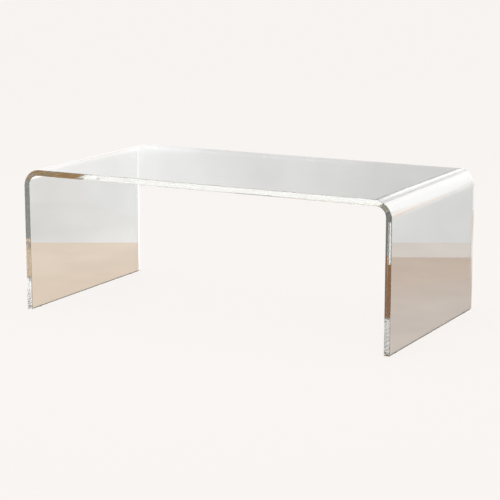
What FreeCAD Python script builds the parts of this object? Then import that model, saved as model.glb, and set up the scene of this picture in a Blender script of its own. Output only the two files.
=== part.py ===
import FreeCAD, Part
import enum
import math
import os

import Sketcher

# Clear acrylic waterfall coffee table: one thick sheet, bent down by heat into two legs, on four bumpers.
# Millimetres. +X runs along the table, +Y to its back, +Z up. The origin is on the floor, under its middle.

# Driving dimensions, by the names that the sketches and features use
SIZES = {
    "table_length": 1067,
    "table_depth": 559,
    "table_height": 386,
    "sheet_thickness": 16,
    # Stretched acrylic thins on the outside of a bend, so the two radii don't share a centre
    "bend_outside_radius": 48,
    "bend_inside_radius": 27,
    # Sawn edges are flame polished, and their corners eased so that they don't chip
    "eased_edge_radius": 1.5,
    "bumper_diameter": 11,
    "bumper_height": 2,
    # How far a bumper's side draws in on its way down, as a moulded one does
    "bumper_taper": 0.6,
    "bumper_rim_radius": 0.5,
    # From a bumper's centre to the nearest sawn edge of the sheet
    "bumper_setback": 45,
}

# Two lengths closer than this are the same length
NEAR = 0.001

QUARTER_TURN = math.pi / 2


class LineEnd(enum.IntEnum):
    """The ends of a sketch's line or arc, as constraints number them."""

    START = 1
    END = 2


class SketchAxis(enum.IntEnum):
    """A sketch's own axes, as constraints number them. The level one's start is the sketch's origin."""

    LEVEL = -1
    UPRIGHT = -2


START, END = LineEnd
LEVEL_AXIS, UPRIGHT_AXIS = SketchAxis

doc = FreeCAD.newDocument("waterfall_table")
sheet = doc.addObject("Spreadsheet::Sheet", "sizes")
for row, (size_name, size) in enumerate(SIZES.items(), start=1):
    sheet.set(f"A{row}", size_name)
    sheet.set(f"B{row}", str(size))
    sheet.setAlias(f"B{row}", size_name)
doc.recompute()


def size_of(formula):
    """A formula in the names of the sizes, as the document's expressions write it."""
    for size_name in SIZES:
        formula = formula.replace(size_name, f"sizes.{size_name}")
    return formula


def origin_feature(body, role):
    """One of a body's own origin planes or axes, by its role."""
    return next(feature for feature in body.Origin.OriginFeatures if feature.Role == role)


def new_sketch(body, name, plane):
    """An empty sketch on one of the body's origin planes."""
    sketch = body.newObject("Sketcher::SketchObject", name)
    sketch.AttachmentSupport = (origin_feature(body, plane), "")
    sketch.MapMode = "FlatFace"
    return sketch


def dimension(sketch, formula, *constraint):
    """Adds a constraint whose value follows the sizes."""
    index = sketch.addConstraint(Sketcher.Constraint(*constraint))
    sketch.setExpression(f"Constraints[{index}]", size_of(formula))


def point(along, up):
    """A point of a sketch."""
    return FreeCAD.Vector(along, up, 0)


def line(sketch, start, end):
    """Adds a straight line to a sketch, and gives its number there."""
    return sketch.addGeometry(Part.LineSegment(point(*start), point(*end)))


def quarter_arc(sketch, centre, radius, quarter):
    """Adds a quarter circle, running anticlockwise from the given quarter turn, and gives its number."""
    circle = Part.Circle(point(*centre), FreeCAD.Vector(0, 0, 1), radius)
    return sketch.addGeometry(Part.ArcOfCircle(circle, quarter * QUARTER_TURN, (quarter + 1) * QUARTER_TURN))


def draw_section(sketch):
    """The sheet seen from the front: a flat top that turns down at both ends through round bends.

    It is drawn near its true place, and the constraints then hold it to the sizes.
    """
    foot = sheet.bumper_height
    outer_x = sheet.table_length / 2
    outer_z = sheet.table_height
    outer_bend = sheet.bend_outside_radius
    inner_x = outer_x - sheet.sheet_thickness
    inner_z = outer_z - sheet.sheet_thickness
    inner_bend = sheet.bend_inside_radius

    # Show side: up the left leg, over the top and down the right leg
    outer_flat = outer_x - outer_bend
    outer_turn = outer_z - outer_bend
    left_outside = line(sketch, (-outer_x, foot), (-outer_x, outer_turn))
    left_outer_bend = quarter_arc(sketch, (-outer_flat, outer_turn), outer_bend, 1)
    top_face = line(sketch, (-outer_flat, outer_z), (outer_flat, outer_z))
    right_outer_bend = quarter_arc(sketch, (outer_flat, outer_turn), outer_bend, 0)
    right_outside = line(sketch, (outer_x, outer_turn), (outer_x, foot))

    # Inner side: back up the right leg, along the underside and down the left leg
    inner_flat = inner_x - inner_bend
    inner_turn = inner_z - inner_bend
    right_foot = line(sketch, (outer_x, foot), (inner_x, foot))
    right_inside = line(sketch, (inner_x, foot), (inner_x, inner_turn))
    right_inner_bend = quarter_arc(sketch, (inner_flat, inner_turn), inner_bend, 0)
    underside = line(sketch, (inner_flat, inner_z), (-inner_flat, inner_z))
    left_inner_bend = quarter_arc(sketch, (-inner_flat, inner_turn), inner_bend, 1)
    left_inside = line(sketch, (-inner_x, inner_turn), (-inner_x, foot))
    left_foot = line(sketch, (-inner_x, foot), (-outer_x, foot))

    # Flats run into bends without a crease, and the leg ends are square
    for flat, flat_end, bend, bend_end in (
        (left_outside, END, left_outer_bend, END),
        (top_face, START, left_outer_bend, START),
        (top_face, END, right_outer_bend, END),
        (right_outside, START, right_outer_bend, START),
        (right_inside, END, right_inner_bend, START),
        (underside, START, right_inner_bend, END),
        (underside, END, left_inner_bend, START),
        (left_inside, START, left_inner_bend, END),
    ):
        sketch.addConstraint(Sketcher.Constraint("Tangent", flat, flat_end, bend, bend_end))
    for first, second in (
        (right_outside, right_foot),
        (right_foot, right_inside),
        (left_inside, left_foot),
        (left_foot, left_outside),
    ):
        sketch.addConstraint(Sketcher.Constraint("Coincident", first, END, second, START))
    for upright in (left_outside, right_outside, right_inside, left_inside):
        sketch.addConstraint(Sketcher.Constraint("Vertical", upright))
    for level in (top_face, underside, right_foot):
        sketch.addConstraint(Sketcher.Constraint("Horizontal", level))

    # Both ends are alike
    for left_corner, right_corner in (
        ((left_outside, START), (right_outside, END)),
        ((left_inside, END), (right_inside, START)),
    ):
        sketch.addConstraint(Sketcher.Constraint("Symmetric", *left_corner, *right_corner, UPRIGHT_AXIS))
    sketch.addConstraint(Sketcher.Constraint("Equal", left_outer_bend, right_outer_bend))
    sketch.addConstraint(Sketcher.Constraint("Equal", left_inner_bend, right_inner_bend))

    dimension(sketch, "table_length", "DistanceX", left_outside, START, right_outside, END, 2 * outer_x)
    dimension(sketch, "table_height", "DistanceY", LEVEL_AXIS, START, top_face, START, outer_z)
    dimension(sketch, "bumper_height", "DistanceY", LEVEL_AXIS, START, right_outside, END, foot)
    thickness = sheet.sheet_thickness
    dimension(sketch, "sheet_thickness", "DistanceX", right_inside, START, right_outside, END, thickness)
    dimension(sketch, "sheet_thickness", "DistanceY", underside, START, top_face, END, thickness)
    dimension(sketch, "bend_outside_radius", "Radius", left_outer_bend, outer_bend)
    dimension(sketch, "bend_inside_radius", "Radius", left_inner_bend, inner_bend)


def eased_edges(shape):
    """The edges a maker eases: all round both sawn sides of the sheet, and along the two leg ends."""
    names = []
    for number, edge in enumerate(shape.Edges, start=1):
        box = edge.BoundBox
        on_sawn_side = box.YLength < NEAR
        on_leg_end = box.ZMax < sheet.bumper_height + NEAR
        if on_sawn_side or on_leg_end:
            names.append(f"Edge{number}")
    return names


def make_bent_sheet(name):
    """The whole table but its bumpers: the section, as deep as the table, with its sawn edges eased."""
    body = doc.addObject("PartDesign::Body", name)
    section = new_sketch(body, f"{name}_section", "XZ_Plane")
    draw_section(section)

    slab = body.newObject("PartDesign::Pad", f"{name}_slab")
    slab.Profile = section
    slab.SideType = "Symmetric"
    slab.setExpression("Length", size_of("table_depth"))
    doc.recompute()

    easing = body.newObject("PartDesign::Fillet", f"{name}_easing")
    easing.Base = (slab, eased_edges(slab.Shape))
    easing.setExpression("Radius", size_of("eased_edge_radius"))
    body.Tip = easing
    return body


def draw_bumper_half(sketch):
    """Half of a bumper's section: its glued face at the top, a tapered side, and the face it stands on."""
    height = sheet.bumper_height
    glued_radius = sheet.bumper_diameter / 2
    standing_radius = glued_radius - sheet.bumper_taper
    axis = line(sketch, (0, 0), (0, height))
    glued_face = line(sketch, (0, height), (glued_radius, height))
    side = line(sketch, (glued_radius, height), (standing_radius, 0))
    standing_face = line(sketch, (standing_radius, 0), (0, 0))

    outline = (axis, glued_face, side, standing_face)
    for first, second in zip(outline, (*outline[1:], axis)):
        sketch.addConstraint(Sketcher.Constraint("Coincident", first, END, second, START))
    sketch.addConstraint(Sketcher.Constraint("Coincident", axis, START, LEVEL_AXIS, START))
    sketch.addConstraint(Sketcher.Constraint("Vertical", axis))
    sketch.addConstraint(Sketcher.Constraint("Horizontal", glued_face))
    sketch.addConstraint(Sketcher.Constraint("Horizontal", standing_face))
    dimension(sketch, "bumper_height", "DistanceY", axis, START, axis, END, height)
    dimension(sketch, "bumper_diameter / 2", "DistanceX", axis, END, side, START, glued_radius)
    dimension(sketch, "bumper_taper", "DistanceX", side, END, side, START, glued_radius - standing_radius)


def standing_rim(shape):
    """The round edge of the face that a bumper stands on."""
    names = []
    for number, edge in enumerate(shape.Edges, start=1):
        if edge.BoundBox.ZMax < NEAR:
            names.append(f"Edge{number}")
    return names


def make_bumper(name, along, back):
    """A clear floor bumper under a leg end. along is -1 for left or 1 for right, back -1 for front or 1."""
    body = doc.addObject("PartDesign::Body", name)
    half_section = new_sketch(body, f"{name}_half_section", "XZ_Plane")
    draw_bumper_half(half_section)

    turned = body.newObject("PartDesign::Revolution", f"{name}_turned")
    turned.Profile = half_section
    turned.ReferenceAxis = (origin_feature(body, "Z_Axis"), "")
    turned.Angle = 360
    doc.recompute()

    rim = body.newObject("PartDesign::Fillet", f"{name}_rim")
    rim.Base = (turned, standing_rim(turned.Shape))
    rim.setExpression("Radius", size_of("bumper_rim_radius"))
    body.Tip = rim

    # Centred under the thickness of its leg
    leg_middle = "(table_length - sheet_thickness) / 2"
    body.setExpression("Placement.Base.x", size_of(f"{along} * {leg_middle}"))
    body.setExpression("Placement.Base.y", size_of(f"{back} * (table_depth / 2 - bumper_setback)"))
    return body


sub_parts = [make_bent_sheet("bent_sheet")]
for along, side_word in ((-1, "left"), (1, "right")):
    for back, depth_word in ((-1, "front"), (1, "back")):
        sub_parts.append(make_bumper(f"bumper_{depth_word}_{side_word}", along, back))
doc.recompute()

# Nothing is written unless every feature built and every piece is one sound solid
for item in doc.Objects:
    if "Invalid" in item.State or "Error" in item.State:
        raise RuntimeError(f"{item.Label} failed: {item.State}")
for sub_part in sub_parts:
    if sub_part.Shape.isNull() or not sub_part.Shape.isValid():
        raise RuntimeError(f"{sub_part.Label} has no valid shape")
    if len(sub_part.Shape.Solids) != 1:
        raise RuntimeError(f"{sub_part.Label} isn't one solid")

os.makedirs("parts", exist_ok=True)
for sub_part in sub_parts:
    sub_part.Shape.exportStep(f"parts/{sub_part.Label}.step")
    box = sub_part.Shape.optimalBoundingBox()
    print(f"{sub_part.Label}: {box.XLength:.1f} x {box.YLength:.1f} x {box.ZLength:.1f} mm,"
          f" {sub_part.Shape.Volume / 1000:.2f} cm3")
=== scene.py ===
# %% [markdown]
# # A clear acrylic waterfall table
#
# The table is one thick sheet of clear cast acrylic, bent down at both ends, on four small bumpers.
# Clear plastic has no paint to copy. What the eye reads is what the sheet bends, mirrors and swallows.
# So this lesson spends its effort on a true shape, a true refractive index, the small marks that making
# leaves, and a plain stage with enough tone in it for a clear thing to show.

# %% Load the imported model
import math

import bmesh
import bpy
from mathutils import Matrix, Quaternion, Vector


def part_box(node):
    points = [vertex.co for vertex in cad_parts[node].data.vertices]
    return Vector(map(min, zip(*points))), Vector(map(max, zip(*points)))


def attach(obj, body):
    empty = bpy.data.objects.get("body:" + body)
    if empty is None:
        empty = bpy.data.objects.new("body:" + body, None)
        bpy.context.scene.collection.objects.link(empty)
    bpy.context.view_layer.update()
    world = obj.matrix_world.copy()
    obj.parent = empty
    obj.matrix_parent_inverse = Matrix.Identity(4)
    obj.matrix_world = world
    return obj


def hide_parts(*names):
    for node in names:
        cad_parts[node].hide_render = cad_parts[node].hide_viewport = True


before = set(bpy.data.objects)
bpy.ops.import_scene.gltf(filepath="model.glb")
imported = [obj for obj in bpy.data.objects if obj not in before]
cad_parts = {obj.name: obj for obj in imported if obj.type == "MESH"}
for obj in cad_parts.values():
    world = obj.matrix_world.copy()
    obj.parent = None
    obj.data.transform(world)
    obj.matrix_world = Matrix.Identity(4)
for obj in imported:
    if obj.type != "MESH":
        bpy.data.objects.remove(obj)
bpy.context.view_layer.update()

# %% [markdown]
# ## The camera
#
# The table is seen from the right of its front, a little from above, through a long lens.
# A camera could be aimed with a Track To constraint, but its fitted place and angles are known, so they
# are set plainly. Yaw turns the camera left from the table's back, and pitch tips it down. The stage
# below is laid out in the same two level directions: away from the camera, and across its view.

# %% Camera
EYE = Vector((2.1095, -3.982, 1.0894))
YAW = math.radians(27.89)
PITCH = math.radians(11.59)
LENS_MM = 122.9

camera_data = bpy.data.cameras.new("table_camera")
camera_data.lens = LENS_MM
camera = bpy.data.objects.new("table_camera", camera_data)
camera.location = EYE
camera.rotation_euler = (math.pi / 2 - PITCH, 0, YAW)
scene = bpy.context.scene
scene.collection.objects.link(camera)
scene.camera = camera

away = Vector((-math.sin(YAW), math.cos(YAW), 0))
across = Vector((math.cos(YAW), math.sin(YAW), 0))
print("camera stands", round(EYE.xy.length, 2), "m from the table's middle")

# %% [markdown]
# ## The bent sheet: its section
#
# On the real table one flat sheet is the top and both legs, so there is no seam to model.
# A plane with a Solidify modifier could make it, but a bent sheet isn't the same thickness everywhere.
# Instead the section is drawn as eight sharp corners, and one extrude carries it from front to back.

# %% Sheet section
MM = 0.001
SHEET = "bent_sheet"
THICKNESS = 16 * MM

sheet_low, sheet_high = (Vector(corner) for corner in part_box(SHEET))
foot = sheet_low.z
outer_x, inner_x = sheet_high.x, sheet_high.x - THICKNESS
outer_z, inner_z = sheet_high.z, sheet_high.z - THICKNESS
section = [
    (-outer_x, foot), (-outer_x, outer_z), (outer_x, outer_z), (outer_x, foot),
    (inner_x, foot), (inner_x, inner_z), (-inner_x, inner_z), (-inner_x, foot),
]

sheet = bmesh.new()
front_face = sheet.faces.new([sheet.verts.new((x, sheet_low.y, z)) for x, z in section])
grown = bmesh.ops.extrude_face_region(sheet, geom=[front_face], use_keep_orig=True)
back_corners = [item for item in grown["geom"] if isinstance(item, bmesh.types.BMVert)]
bmesh.ops.translate(sheet, verts=back_corners, vec=(0, sheet_high.y - sheet_low.y, 0))
bmesh.ops.recalc_face_normals(sheet, faces=sheet.faces)
print("section swept over", round(sheet_high.y - sheet_low.y, 3), "m")

# %% [markdown]
# ## The bent sheet: its bends
#
# A strip heater softens the sheet along two lines, and it is folded down over a rounded former. The
# outside of each bend stretches and thins, so its radius is larger than the inside radius plus the
# thickness. A bevel on a square corner with a profile of 0.5 is a true quarter circle, so each side gets
# a bevel of its own radius.

# %% Sheet bends
OUTSIDE_BEND = 48 * MM
INSIDE_BEND = 27 * MM
BEND_STEPS = 40
ROUND_PROFILE = 0.5
SAME_PLACE = 0.01 * MM


def is_close(a, b):
    """True if two lengths in metres are the same for our purpose."""
    return abs(a - b) < SAME_PLACE


def round_edges(mesh, edges, radius, steps):
    """Rounds edges of a bmesh to a radius, in a number of flat steps."""
    bmesh.ops.bevel(
        mesh, geom=edges, offset=radius, offset_type="OFFSET", segments=steps,
        profile=ROUND_PROFILE, affect="EDGES", material=-1, clamp_overlap=False,
    )


def corner_edges(mesh, half_width, height):
    """The two corners that run front to back, at this distance from the middle and this height."""
    return [
        edge for edge in mesh.edges
        if all(is_close(abs(vert.co.x), half_width) for vert in edge.verts)
        and all(is_close(vert.co.z, height) for vert in edge.verts)
        and not is_close(edge.verts[0].co.y, edge.verts[1].co.y)
    ]


round_edges(sheet, corner_edges(sheet, outer_x, outer_z), OUTSIDE_BEND, BEND_STEPS)
round_edges(sheet, corner_edges(sheet, inner_x, inner_z), INSIDE_BEND, BEND_STEPS)
print("faces with bends:", len(sheet.faces))

# %% [markdown]
# ## The bent sheet: its edges
#
# A sawn acrylic edge is scraped and flame polished, which leaves it clear and just off sharp. That tiny
# round is what draws the outline of a clear table, so it is real geometry. It goes on every edge of the
# sawn faces: the front, the back and the two leg ends. A Weighted Normal modifier then lets the flat
# faces set the shading, so that flats stay flat and only the bends and rounds shade as round.

# %% Sheet edges
EASED_EDGE = 1.5 * MM
EASE_STEPS = 4
SHARP = math.radians(45)

sawn_edges = [
    edge for edge in sheet.edges
    if is_close(edge.verts[0].co.y, edge.verts[1].co.y)
    or all(is_close(vert.co.z, foot) for vert in edge.verts)
]
sharp_edges = [edge for edge in sawn_edges if edge.calc_face_angle(0) > SHARP]
round_edges(sheet, sharp_edges, EASED_EDGE, EASE_STEPS)
for face in sheet.faces:
    face.smooth = True

sheet_mesh = bpy.data.meshes.new("acrylic_sheet")
sheet.to_mesh(sheet_mesh)
sheet.free()
acrylic_sheet = bpy.data.objects.new("acrylic_sheet", sheet_mesh)
scene.collection.objects.link(acrylic_sheet)
acrylic_sheet.modifiers.new("flat_faces_first", "WEIGHTED_NORMAL").mode = "FACE_AREA"
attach(acrylic_sheet, "root")
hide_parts(SHEET)
print("sheet faces:", len(sheet_mesh.polygons))

# %% [markdown]
# ## Colours and nodes
#
# Colours are written as the hex values that a picture editor shows. Shaders work in linear light, so one
# function turns them, by the formula of the sRGB standard. A second small function adds a node, sets it
# and links it, and every material below is built with it.

# %% Helpers for materials
WHITE = "#FFFFFF"
FULL = 1.0
# The sRGB standard's curve: straight near black, then a power
STRAIGHT_UP_TO = 0.04045
STRAIGHT_SLOPE = 12.92
CURVE_OFFSET = 0.055
CURVE_POWER = 2.4


def linear_channel(value):
    """One sRGB channel, from 0 to 1, as linear light."""
    if value <= STRAIGHT_UP_TO:
        return value / STRAIGHT_SLOPE
    return ((value + CURVE_OFFSET) / (1 + CURVE_OFFSET)) ** CURVE_POWER


def linear(hex_colour):
    """An sRGB hex colour as linear red, green, blue and an alpha of 1."""
    channels = [int(hex_colour[i:i + 2], 16) / 255 for i in (1, 3, 5)]
    return (*[linear_channel(channel) for channel in channels], FULL)


def add_node(tree, kind, inputs=None, **settings):
    """Adds a shader node, sets its properties, and sets or links its inputs."""
    node = tree.nodes.new("ShaderNode" + kind)
    for name, value in settings.items():
        setattr(node, name, value)
    for name, value in (inputs or {}).items():
        if isinstance(value, bpy.types.NodeSocket):
            tree.links.new(value, node.inputs[name])
        else:
            node.inputs[name].default_value = value
    return node


def new_material(name):
    """An empty node material and its tree."""
    material = bpy.data.materials.new(name)
    material.use_nodes = True
    material.node_tree.nodes.clear()
    return material, material.node_tree


# %% [markdown]
# ## Cast acrylic: the marks of making
#
# Cast acrylic (PMMA) comes off polished glass moulds, so its faces are mirror smooth. Three things still
# mark it. Wiping leaves a faint haze. Heating leaves fine lines along each bend and a slow wave beside it.
# The flame that polishes a sawn edge leaves a soft ripple. A texture could be painted for each, but noise
# at the right size in millimetres, masked by which way the surface faces, gives all three on any part of
# the sheet. The heights are true ones, because the Bump node's distance is set to one metre.

# %% Marks on the acrylic
ONE_METRE = 1.0
WAVE_SIZE = 120 * MM
WAVE_HEIGHT = 0.05 * MM
# Draw lines are finer than this on a real bend, and are drawn 5 mm apart so that they show
BEND_LINE_SPACING = 5 * MM
BEND_LINE_HEIGHT = 0.006 * MM
BEND_LINE_STRETCH = 40
RIPPLE_SIZE = 8 * MM
RIPPLE_HEIGHT = 0.003 * MM


def noise(tree, place, size, detail=0.0):
    """Soft noise whose lumps are about a size in metres across, from 0 to 1."""
    lumps = add_node(tree, "TexNoise", {"Vector": place, "Scale": 1 / size, "Detail": detail})
    return lumps.outputs["Fac"]


def sum_of_products(tree, terms):
    """Adds up products of sockets or numbers, each term a tuple of factors."""
    total = 0.0
    for first, *others in terms:
        product = first
        for factor in others:
            product = add_node(tree, "Math", {0: product, 1: factor}, operation="MULTIPLY").outputs[0]
        total = add_node(tree, "Math", {0: product, 1: total}, operation="ADD").outputs[0]
    return total


def making_marks(tree):
    """The height of the acrylic's surface marks, in metres."""
    place = add_node(tree, "TexCoord")
    facing = add_node(tree, "SeparateXYZ", {0: place.outputs["Normal"]})
    slant = add_node(tree, "Math", {0: facing.outputs["X"], 1: facing.outputs["Z"]}, operation="MULTIPLY")
    in_bend = add_node(tree, "Math", {0: slant.outputs[0]}, operation="ABSOLUTE").outputs[0]
    on_saw_cut = add_node(tree, "Math", {0: facing.outputs["Y"]}, operation="ABSOLUTE").outputs[0]
    along_bend = add_node(tree, "Mapping", {
        "Vector": place.outputs["Object"], "Scale": (1, 1 / BEND_LINE_STRETCH, 1),
    })
    return sum_of_products(tree, [
        (noise(tree, place.outputs["Object"], WAVE_SIZE), WAVE_HEIGHT),
        (noise(tree, along_bend.outputs[0], BEND_LINE_SPACING), in_bend, BEND_LINE_HEIGHT),
        (noise(tree, place.outputs["Object"], RIPPLE_SIZE), on_saw_cut, RIPPLE_HEIGHT),
    ])


# %% [markdown]
# ## Cast acrylic: the plastic
#
# PMMA has a refractive index of 1.49. Through the thickness it looks colourless, but the eye that looks
# into a sawn edge sees through more than half a metre of plastic, and a faint tint adds up. Colour could
# be painted on the edges. Volume absorption does it by itself, and only where the path is long, from
# every side. The wiping haze is a little roughness, in patches where the noise runs high.

# %% Cast acrylic
ACRYLIC_IOR = 1.49
TINT = (0.40, 0.36, 0.24, 1)
TINT_DENSITY = 2.5
HAZE_SIZE = 150 * MM
HAZE_DETAIL = 3.0
HAZE_STARTS = 0.4
HAZE_FULL = 0.75
CLEAR_ROUGHNESS = 0.0
HAZE_ROUGHNESS = 0.03


def make_cast_acrylic():
    """The sheet's plastic: clear, faintly tinted inside, and marked by its making."""
    material, tree = new_material("cast_acrylic_flame_polished")
    place = add_node(tree, "TexCoord")
    haze = add_node(tree, "MapRange", {
        "Value": noise(tree, place.outputs["Object"], HAZE_SIZE, HAZE_DETAIL),
        "From Min": HAZE_STARTS, "From Max": HAZE_FULL,
        "To Min": CLEAR_ROUGHNESS, "To Max": HAZE_ROUGHNESS,
    })
    marks = add_node(tree, "Bump", {
        "Strength": FULL, "Distance": ONE_METRE, "Height": making_marks(tree),
    })
    surface = add_node(tree, "BsdfPrincipled", {
        "Base Color": linear(WHITE),
        "Roughness": haze.outputs[0],
        "IOR": ACRYLIC_IOR,
        "Transmission Weight": FULL,
        "Normal": marks.outputs[0],
    })
    tint = add_node(tree, "VolumeAbsorption", {"Color": TINT, "Density": TINT_DENSITY})
    add_node(tree, "OutputMaterial", {"Surface": surface.outputs[0], "Volume": tint.outputs[0]})
    return material


acrylic_sheet.data.materials.append(make_cast_acrylic())
swallowed = [round((1 - channel) * TINT_DENSITY, 2) for channel in TINT[:3]]
print("acrylic swallows", swallowed, "of red, green and blue per metre")

# %% [markdown]
# ## Settings
#
# Light inside the sheet bounces between its faces a dozen times or more on its way from edge to edge, so
# the usual limits on bounces would turn the edges black. The Standard view shows colours as written.

# %% Settings
BOUNCES = 48

scene.view_settings.view_transform = "Standard"
scene.cycles.max_bounces = BOUNCES
scene.cycles.glossy_bounces = BOUNCES
scene.cycles.transmission_bounces = BOUNCES
print("light is followed for", BOUNCES, "bounces")

# %% [markdown]
# ## The bumpers
#
# Small clear discs of soft polyurethane are stuck under the leg ends, so that polished plastic doesn't
# stand on a hard floor. They are cast in a mould and have a satin skin. The CAD shape is right, so it
# stays and gets a finish only: slightly cloudy, with a fine mould texture in its roughness and bump.

# %% Bumpers
# The mould's texture is finer than this, and is drawn at 1 mm so that it shows close up
MOULD_GRAIN = 1.0 * MM
MOULD_DEPTH = 0.015 * MM
MOULD_DETAIL = 2.0
BUMPER_IOR = 1.5
BUMPER_CLARITY = 0.85
CLEAR_RESIN = "#F6F4EF"
CLOUDY_RESIN = "#E9E5DA"
SATIN_SMOOTH = 0.18
SATIN_ROUGH = 0.34


def make_polyurethane():
    """The bumpers' resin: slightly cloudy, with a satin skin."""
    material, tree = new_material("cast_polyurethane_satin")
    place = add_node(tree, "TexCoord")
    grain = noise(tree, place.outputs["Object"], MOULD_GRAIN, MOULD_DETAIL)
    cloud = add_node(tree, "Mix", {
        "Factor": grain, "A": linear(CLEAR_RESIN), "B": linear(CLOUDY_RESIN),
    }, data_type="RGBA")
    satin = add_node(tree, "MapRange", {"Value": grain, "To Min": SATIN_SMOOTH, "To Max": SATIN_ROUGH})
    skin = add_node(tree, "Bump", {
        "Strength": FULL, "Distance": ONE_METRE, "Height": sum_of_products(tree, [(grain, MOULD_DEPTH)]),
    })
    surface = add_node(tree, "BsdfPrincipled", {
        "Base Color": cloud.outputs["Result"],
        "Roughness": satin.outputs[0],
        "IOR": BUMPER_IOR,
        "Transmission Weight": BUMPER_CLARITY,
        "Normal": skin.outputs[0],
    })
    add_node(tree, "OutputMaterial", {"Surface": surface.outputs[0]})
    return material


polyurethane = make_polyurethane()
bumpers = [node for name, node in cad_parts.items() if name.startswith("bumper")]
for bumper in bumpers:
    bumper.data.materials.clear()
    bumper.data.materials.append(polyurethane)
print("bumpers:", len(bumpers))

# %% [markdown]
# ## The stage: floor
#
# On an evenly white stage a clear table is all but invisible, so people who photograph glass put tone
# where the glass will see it. The camera sees one even cream. Rays that the acrylic has bent or mirrored,
# which Light Path calls transmission and glossy rays, see a floor that glows. It is pale under the table
# and
# warmer at both sides: white at its far left edge, then sand, and dove grey then tan to the right. No lamp
# lights that glow, so its brighter left and darker right are painted light and shade, as well as warm
# colour.
# All other rays meet plain paint, and a small share of that in the cream keeps the shadow.

# %% Floor
CREAM = "#F9F5F2"
FLOOR_SIZE = 60.0
SHADOW_SHARE = 0.06
SAND = "#DFCEBC"
PALE = "#F1EBE6"
DOVE = "#CABFB6"
TAN = "#BF9F82"
# Glowing tones by metres across the camera's view: painted light and shade, lighter at the left and darker
# to the right, with warm colour
FLOOR_TONES = {
    -0.85: WHITE, -0.72: SAND, -0.3: SAND, -0.1: PALE, 0.15: PALE,
    0.36: DOVE, 0.7: DOVE, 1.0: TAN, 1.3: TAN, 1.7: PALE,
}
MOTTLE_SIZE = 180 * MM
MOTTLE = 0.05
MOTTLE_DETAIL = 2.0
# Noise seldom leaves these two values
NOISE_LOW = 0.3
NOISE_HIGH = 0.7
# A grid is made by half its side, so this one is a metre wide until it is scaled
HALF_SIDE = 0.5


def stage_plane(name, width, height, centre, facing, material, lean=0.0):
    """A rectangle of the stage that faces a direction. Its width is level, or leans by an angle."""
    mesh = bmesh.new()
    bmesh.ops.create_grid(mesh, x_segments=1, y_segments=1, size=HALF_SIDE)
    bmesh.ops.scale(mesh, vec=(width, height, 1), verts=mesh.verts)
    data = bpy.data.meshes.new(name)
    mesh.to_mesh(data)
    mesh.free()
    data.materials.append(material)
    piece = bpy.data.objects.new(name, data)
    piece.location = centre
    turn = Vector(facing).to_track_quat("Z", "Y") @ Quaternion((0, 0, 1), lean)
    piece.rotation_euler = turn.to_euler()
    scene.collection.objects.link(piece)
    return piece


def tones_along(tree, direction, tones):
    """A mottled tone that changes along a direction, from a dictionary of places in metres and tones."""
    nearest, farthest = min(tones), max(tones)
    place = add_node(tree, "NewGeometry").outputs["Position"]
    distance = add_node(tree, "VectorMath", {0: place, 1: direction}, operation="DOT_PRODUCT")
    share = add_node(tree, "MapRange", {
        "Value": distance.outputs["Value"], "From Min": nearest, "From Max": farthest,
    })
    ramp = add_node(tree, "ValToRGB", {0: share.outputs[0]})
    stops = ramp.color_ramp.elements
    for where, tone in tones.items():
        position = (where - nearest) / (farthest - nearest)
        is_end = where in (nearest, farthest)
        stop = stops[0 if where == nearest else -1] if is_end else stops.new(position)
        stop.position = position
        stop.color = linear(tone)
    cloud = add_node(tree, "MapRange", {
        "Value": noise(tree, place, MOTTLE_SIZE, MOTTLE_DETAIL),
        "From Min": NOISE_LOW, "From Max": NOISE_HIGH, "To Min": 1 - MOTTLE, "To Max": 1 + MOTTLE,
    })
    mottled = add_node(tree, "VectorMath", {
        0: ramp.outputs["Color"], "Scale": cloud.outputs[0],
    }, operation="SCALE")
    return mottled.outputs[0]


def by_kind_of_ray(tree, seen, through, lighting):
    """Mixes three shaders: for the camera's rays, for rays off or through the acrylic, and for the rest."""
    path = add_node(tree, "LightPath")
    met_acrylic = add_node(tree, "Math", {
        0: path.outputs["Is Glossy Ray"], 1: path.outputs["Is Transmission Ray"],
    }, operation="MAXIMUM")
    others = add_node(tree, "MixShader", {0: met_acrylic.outputs[0], 1: lighting, 2: through})
    mixed = add_node(tree, "MixShader", {0: path.outputs["Is Camera Ray"], 1: others.outputs[0], 2: seen})
    return mixed.outputs[0]


def make_floor_finish():
    """The floor: even to the camera, a glow of painted light and shade to the acrylic, plain paint to the
    rest.
    """
    material, tree = new_material("matt_floor_paint_and_painted_light")
    lit = add_node(tree, "BsdfDiffuse", {"Color": linear(CREAM)}).outputs[0]
    even = add_node(tree, "Emission", {"Color": linear(CREAM)}).outputs[0]
    seen = add_node(tree, "MixShader", {0: 1 - SHADOW_SHARE, 1: lit, 2: even}).outputs[0]
    # The acrylic sees this glow: painted light and shade across the floor, with warm colour
    warm = add_node(tree, "Emission", {"Color": tones_along(tree, across, FLOOR_TONES)}).outputs[0]
    add_node(tree, "OutputMaterial", {"Surface": by_kind_of_ray(tree, seen, warm, lit)})
    return material


stage_plane("floor", FLOOR_SIZE, FLOOR_SIZE, (0, 0, 0), (0, 0, 1), make_floor_finish())
print("floor:", FLOOR_SIZE, "m square")

# %% [markdown]
# ## The stage: screens
#
# Pale screens stand round the table, close enough that a clear leg shows where the floor ends behind it.
# Two of them make a shallow V at the back: one square to the camera's view, and one square to the view
# that the right leg mirrors, so that both floor lines are level in the picture. The camera itself looks
# past all of them. The screens glow and no lamp lights them, so their tones are painted light and shade.
# The back screen is white high up on the left, and darker low down and to the right. The plain screens
# darken towards the right, and the wing is a darker warm grey that turns pale farther right.

# %% Screens
SCREEN_WIDTH = 9.0
SCREEN_HEIGHT = 4.0
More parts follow.
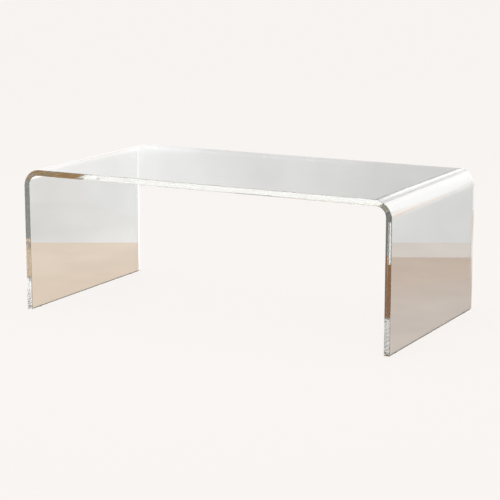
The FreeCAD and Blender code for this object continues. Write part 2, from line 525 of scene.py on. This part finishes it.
# Tones of glowing screens, painted light and shade: the back screen is white high up on the left and darker
# low down and to the right, plain screens darken to the right, and the wing is a darker warm grey
BACK_LOW_TONES = {-0.7: "#DEDEDC", -0.3: "#EAEAE9", 0.6: "#CDCDCB"}
BACK_HIGH_TONES = {-0.6: WHITE, -0.1: "#E6E6E6", 0.5: "#D4D4D2"}
HIGH_FROM = 0.25
HIGH_TO = 0.5
PLAIN_TONES = {-1.0: "#F6F6F6", 1.0: "#DCDCDA"}
WING_TONES = {0.75: "#C9BFB6", 0.9: "#CFC6BE", 1.05: "#F3F3F2"}
BACK_DISTANCE = 0.93
WING_DISTANCE = 1.19
FRONT_DISTANCE = 1.15
FRONT_SIDE_DISTANCE = 1.4
SIDE_DISTANCE = 1.6
# Turned from the table's back towards its right end, then distance in metres, then low and high tones
SCREENS = {
    "back_screen": (-YAW, BACK_DISTANCE, BACK_LOW_TONES, BACK_HIGH_TONES),
    "wing_screen": (YAW, WING_DISTANCE, WING_TONES, WING_TONES),
    "right_screen": (math.radians(90), SIDE_DISTANCE, PLAIN_TONES, PLAIN_TONES),
    "front_right_screen": (math.radians(150), FRONT_SIDE_DISTANCE, PLAIN_TONES, PLAIN_TONES),
    "front_screen": (math.radians(180), FRONT_DISTANCE, PLAIN_TONES, PLAIN_TONES),
    "front_left_screen": (math.radians(210), FRONT_SIDE_DISTANCE, PLAIN_TONES, PLAIN_TONES),
    "left_screen": (math.radians(270), SIDE_DISTANCE, PLAIN_TONES, PLAIN_TONES),
}


def level_direction(turned):
    """A level direction, turned from the table's back towards its right end."""
    return Vector((math.sin(turned), math.cos(turned), 0))


def make_screen_finish(name, low_tones, high_tones):
    """A screen's glow, lit by no lamp, whose tones of painted light and shade change across the view and
    once more with height.
    """
    material, tree = new_material(name + "_glow_with_painted_light")
    place = add_node(tree, "NewGeometry")
    height = add_node(tree, "SeparateXYZ", {0: place.outputs["Position"]})
    raised = add_node(tree, "MapRange", {
        "Value": height.outputs["Z"], "From Min": HIGH_FROM, "From Max": HIGH_TO,
    }, interpolation_type="SMOOTHSTEP")
    low = add_node(tree, "Emission", {"Color": tones_along(tree, across, low_tones)})
    high = add_node(tree, "Emission", {"Color": tones_along(tree, across, high_tones)})
    mixed = add_node(tree, "MixShader", {0: raised.outputs[0], 1: low.outputs[0], 2: high.outputs[0]})
    add_node(tree, "OutputMaterial", {"Surface": mixed.outputs[0]})
    return material


def show_only_to_acrylic(piece):
    """Hides a stage piece from the camera, and from the light and shade on the floor."""
    piece.visible_camera = False
    piece.visible_shadow = False
    piece.visible_diffuse = False


for name, (turned, distance, low_tones, high_tones) in SCREENS.items():
    outward = level_direction(turned)
    middle = outward * distance + Vector((0, 0, SCREEN_HEIGHT / 2))
    finish = make_screen_finish(name, low_tones, high_tones)
    show_only_to_acrylic(stage_plane(name, SCREEN_WIDTH, SCREEN_HEIGHT, middle, -outward, finish))
print("screens:", len(SCREENS))

# %% [markdown]
# ## The stage: world
#
# The world is the plain pale studio beyond the screens. It sends even light from all round, at a level
# where a colour renders as it is written.

# %% World
STUDIO = "#E8E8E7"

world = bpy.data.worlds.new("studio")
scene.world = world
world.use_nodes = True
world.node_tree.nodes.clear()
seen_world = add_node(world.node_tree, "Background", {"Color": linear(CREAM)}).outputs[0]
studio_world = add_node(world.node_tree, "Background", {"Color": linear(STUDIO)}).outputs[0]
add_node(world.node_tree, "OutputWorld", {
    "Surface": by_kind_of_ray(world.node_tree, seen_world, studio_world, studio_world),
})
print("studio tone:", STUDIO)

# %% [markdown]
# ## The lamps: softboxes
#
# A highlight on a bend is the picture of a lamp, squeezed small. A big softbox stands in the corner of the
# V, where the right bend mirrors it. It leans in its own plane, so that its picture ends along the foot of
# the bend. A second one, higher up, does the bend's upper part, and a low strip on the left draws the left
# bend's outline. An area light would be mirrored as a hard square, so each lamp is a glowing panel whose
# rim turns transparent. It glows from its front only.
# Light Path's Ray Depth counts how often light has met the acrylic before it gets to a panel. A panel can
# keep to some of these counts: the two big softboxes are only mirrored, and never seen through the sheet.

# %% Softboxes
DAYLIGHT = "#E6ECFC"
HARD_RIM = 1 * MM
HALF_A_BOUNCE = 0.5
ANY_BOUNCES = (1, BOUNCES)
MIRRORED = (1, 1)
SOFTBOX_DISTANCE = 1.21
SOFTBOX_HEIGHT = 0.77
SOFTBOX_TURN = math.radians(46)
SOFTBOX_AIM = math.radians(20)
SOFTBOX_LEAN = math.radians(-23)


def make_glow(name, width, height, rim, brightness, colour, bounces):
    """A glow that fades out over a rectangle's rim and shows from its front, after so many bounces."""
    material, tree = new_material(name + "_glow")
    place = add_node(tree, "TexCoord")
    local = add_node(tree, "SeparateXYZ", {0: place.outputs["Object"]})
    shares = []
    for axis, size in (("X", width), ("Y", height)):
        offset = add_node(tree, "Math", {0: local.outputs[axis]}, operation="ABSOLUTE")
        shares.append(add_node(tree, "MapRange", {
            "Value": offset.outputs[0], "From Min": size / 2, "From Max": size / 2 - rim,
        }, interpolation_type="SMOOTHSTEP").outputs[0])
    from_behind = add_node(tree, "NewGeometry").outputs["Backfacing"]
    shares.append(add_node(tree, "Math", {0: FULL, 1: from_behind}, operation="SUBTRACT").outputs[0])
    fewest, most = bounces
    shares.append(add_node(tree, "Math", {
        0: add_node(tree, "LightPath").outputs["Ray Depth"],
        1: (fewest + most) / 2,
        2: (most - fewest) / 2 + HALF_A_BOUNCE,
    }, operation="COMPARE").outputs[0])
    clear = add_node(tree, "BsdfTransparent").outputs[0]
    glow = add_node(tree, "Emission", {"Color": linear(colour), "Strength": brightness}).outputs[0]
    mixed = add_node(tree, "MixShader", {0: sum_of_products(tree, [shares]), 1: clear, 2: glow})
    add_node(tree, "OutputMaterial", {"Surface": mixed.outputs[0]})
    return material


def glow_panel(name, width, height, centre, facing, brightness,
               colour=WHITE, rim=HARD_RIM, lean=0.0, bounces=ANY_BOUNCES):
    """A lamp or a tinted card that only the acrylic sees."""
    finish = make_glow(name, width, height, rim, brightness, colour, bounces)
    show_only_to_acrylic(stage_plane(name, width, height, centre, facing, finish, lean))
    print(name, "is", round(width, 3), "m by", round(height, 3), "m")


def stage_place(across_by, away_by, height):
    """A place on the stage, by metres across the camera's view, away from the camera, and up."""
    return across * across_by + away * away_by + Vector((0, 0, height))


glow_panel(
    "corner_softbox", width=1.35, height=1.2,
    centre=level_direction(SOFTBOX_TURN) * SOFTBOX_DISTANCE + Vector((0, 0, SOFTBOX_HEIGHT)),
    facing=-level_direction(SOFTBOX_AIM), brightness=3.1, rim=0.36, lean=SOFTBOX_LEAN,
    bounces=MIRRORED,
)
glow_panel(
    "high_softbox", width=0.7, height=0.7, centre=stage_place(across_by=0.81, away_by=0.8, height=0.842),
    facing=-away, brightness=3.9, rim=0.2, lean=SOFTBOX_LEAN, bounces=MIRRORED,
)
glow_panel(
    "left_strip", width=0.75, height=0.22, centre=stage_place(across_by=-0.5, away_by=0.92, height=0.37),
    facing=-away, brightness=1.25, rim=0.08,
)

# %% [markdown]
# ## The lamps: the left leg's back edge
#
# The far edge of the left leg is a thin white line. The light in it went into the leg, bounced once off
# the sawn back edge, and came out on the left: three meetings, or five where it is seen through the top.
# So the white that it shows lies to the front left, on the floor near the leg and upright farther off.
# Light that just passes through a wall of the sheet has met it twice, and isn't shown these two panels.

# %% Back edge line
LINE_TURN = math.radians(212)
LINE_DISTANCE = 1.2
LINE_HEIGHT = 0.25
LINE_BRIGHTNESS = 1.3
ONE_BOUNCE_INSIDE = (3, 3)
ALSO_THROUGH_TOP = (3, 5)
FLOOR_CARD_HEIGHT = 1 * MM
LINE_CARD_PLACE = (-0.92, -0.31, FLOOR_CARD_HEIGHT)

left_back_corner = Vector((-outer_x, sheet_high.y, 0))
line_direction = level_direction(LINE_TURN)
glow_panel(
    "line_softbox", width=0.3, height=0.6,
    centre=left_back_corner + line_direction * LINE_DISTANCE + Vector((0, 0, LINE_HEIGHT)),
    facing=-line_direction, brightness=LINE_BRIGHTNESS, rim=0.1, bounces=ALSO_THROUGH_TOP,
)
glow_panel(
    "line_floor_card", width=0.8, height=1.2, centre=LINE_CARD_PLACE,
    facing=(0, 0, 1), brightness=LINE_BRIGHTNESS, rim=0.02, bounces=ONE_BOUNCE_INSIDE,
)

# %% [markdown]
# ## The lamps: light inside the top
#
# A clear sheet is a light guide. What shines into its back edge bounces along between the faces and leaves
# by the front edge, so the front edge takes the colour of what is behind the table. A strip along the back
# edge makes the front edge white, and one below its left end carries that on round the corner. Light that
# comes out nearer the left bend left the sheet at a slant and met the floor, where a gold card lies. At the
# right end such light meets a strip at the back. All of these are shown only to guided light, so that no
# bar of white is seen through the top.

# %% Top edge cards
GOLD = "#DEAA5E"
GUIDED = (5, BOUNCES)
GUIDED_TO_GOLD = (4, BOUNCES)
CARD_MARGIN = 9.5 * MM
CARD_OVERLAP = 6 * MM
CLOSE_BEHIND = 15 * MM
LEFT_LEG = (-outer_x - CARD_MARGIN, -inner_x + CARD_MARGIN)
RIGHT_LEG = (inner_x - CARD_MARGIN, outer_x + CARD_MARGIN)
TOP_STRIP = (-0.6, 0.36)
CORNER_FROM = 0.315


def edge_card(name, ends, heights, brightness, colour=DAYLIGHT, bounces=GUIDED, behind=CLOSE_BEHIND):
    """A card that faces the sheet's back edge, between two places along the table and two heights."""
    (left, right), (low, high) = ends, heights
    centre = ((left + right) / 2, sheet_high.y + behind, (low + high) / 2)
    glow_panel(name, right - left, high - low, centre, (0, -1, 0), brightness, colour, bounces=bounces)


edge_card("top_edge_strip", TOP_STRIP, (inner_z - CARD_OVERLAP, outer_z + CARD_OVERLAP), brightness=3.0)
edge_card("left_corner_strip", LEFT_LEG, (CORNER_FROM, inner_z - CARD_OVERLAP), brightness=3.2)
glow_panel(
    "gold_card", width=0.40, height=0.36,
    centre=stage_place(across_by=-0.13, away_by=0.79, height=FLOOR_CARD_HEIGHT),
    facing=(0, 0, 1), brightness=1.0, colour=GOLD, rim=0.08, bounces=GUIDED_TO_GOLD,
)
glow_panel(
    "low_strip", width=0.5, height=0.2, centre=stage_place(across_by=0.6, away_by=0.91, height=0.3),
    facing=-away, brightness=2.4, colour=DAYLIGHT, bounces=GUIDED,
)

# %% [markdown]
# ## The lamps: light inside the legs
#
# The eye looks down into a leg's front edge, so the light that it sees left the back edge lower than it
# came out. From the top down, that light comes from behind the leg, then from the floor, and at the foot,
# where it bounced off the leg's end, from above. So each leg has a grey card and a warm card behind it,
# more of the warm tone on the floor, and a white card over that, face down. Light that runs along a leg
# bounces more often than the light for the gold card, so these cards don't stand in its way.
# Half of a front edge shows light after an even number of bounces, and half after an odd number. The one
# leaves the back edge to the left, the other to the right. A narrow white card on the right leg's outer
# side reaches one of them only, and draws a white line along half of the edge.

# %% Leg edge cards
GREY = "#AAB5BE"
PEACH = "#FFEBDD"
BROWN = "#C5936C"
ALONG_A_LEG = (11, BOUNCES)
GREY_TOP = 0.305
WARM_FOOT = 0.105
LEVEL_WIDTH = 0.6
LEVEL_DEPTH = 0.5
OVER_FLOOR_CARD = 2 * FLOOR_CARD_HEIGHT
# The white card stands across the plane of the leg's outer side
WHITE_LINE = (outer_x - 4.5 * MM, outer_x + 3 * MM)
WHITE_LINE_HEIGHTS = (0.145, 0.26)
BEFORE_OTHERS = CLOSE_BEHIND - 1 * MM


def level_card(name, ends, height, facing, brightness, colour):
    """A level card behind a leg, which faces up or down."""
    centre = (sum(ends) / 2, sheet_high.y + CLOSE_BEHIND + LEVEL_DEPTH / 2, height)
    glow_panel(name, LEVEL_WIDTH, LEVEL_DEPTH, centre, facing, brightness, colour, bounces=ALONG_A_LEG)


def leg_cards(side, ends, warm, warm_top, warm_glow, grey_glow, foot_glow):
    """The four cards that light one leg's front edge from inside."""
    edge_card(side + "_grey_card", ends, (warm_top, GREY_TOP), grey_glow, GREY, ALONG_A_LEG)
    edge_card(side + "_warm_card", ends, (WARM_FOOT, warm_top), warm_glow, warm, ALONG_A_LEG)
    level_card(side + "_floor_card", ends, OVER_FLOOR_CARD, (0, 0, 1), warm_glow, warm)
    level_card(side + "_foot_card", ends, WARM_FOOT, (0, 0, -1), foot_glow, DAYLIGHT)


leg_cards("left", LEFT_LEG, warm=PEACH, warm_top=0.115, warm_glow=1.55, grey_glow=1.4, foot_glow=3.1)
leg_cards("right", RIGHT_LEG, warm=BROWN, warm_top=0.17, warm_glow=0.95, grey_glow=0.8, foot_glow=1.9)
edge_card(
    "right_white_card", WHITE_LINE, WHITE_LINE_HEIGHTS, brightness=2.4,
    bounces=ALONG_A_LEG, behind=BEFORE_OTHERS,
)

# %% [markdown]
# ## The lamps: overhead
#
# One broad lamp over the table lights the floor and the bumpers evenly, and its size keeps the shadow soft.

# %% Overhead lamp
OVERHEAD_SIZE = 2.0
OVERHEAD_PLACE = (0, -0.3, 2.4)
OVERHEAD_BRIGHTNESS = 2.0

overhead_data = bpy.data.lights.new("overhead_lamp", "AREA")
overhead_data.size = OVERHEAD_SIZE
overhead_data.energy = OVERHEAD_BRIGHTNESS * math.pi * OVERHEAD_SIZE ** 2
overhead = bpy.data.objects.new("overhead_lamp", overhead_data)
overhead.location = OVERHEAD_PLACE
overhead.visible_camera = False
scene.collection.objects.link(overhead)
print("overhead lamp:", round(overhead_data.energy, 1), "W")
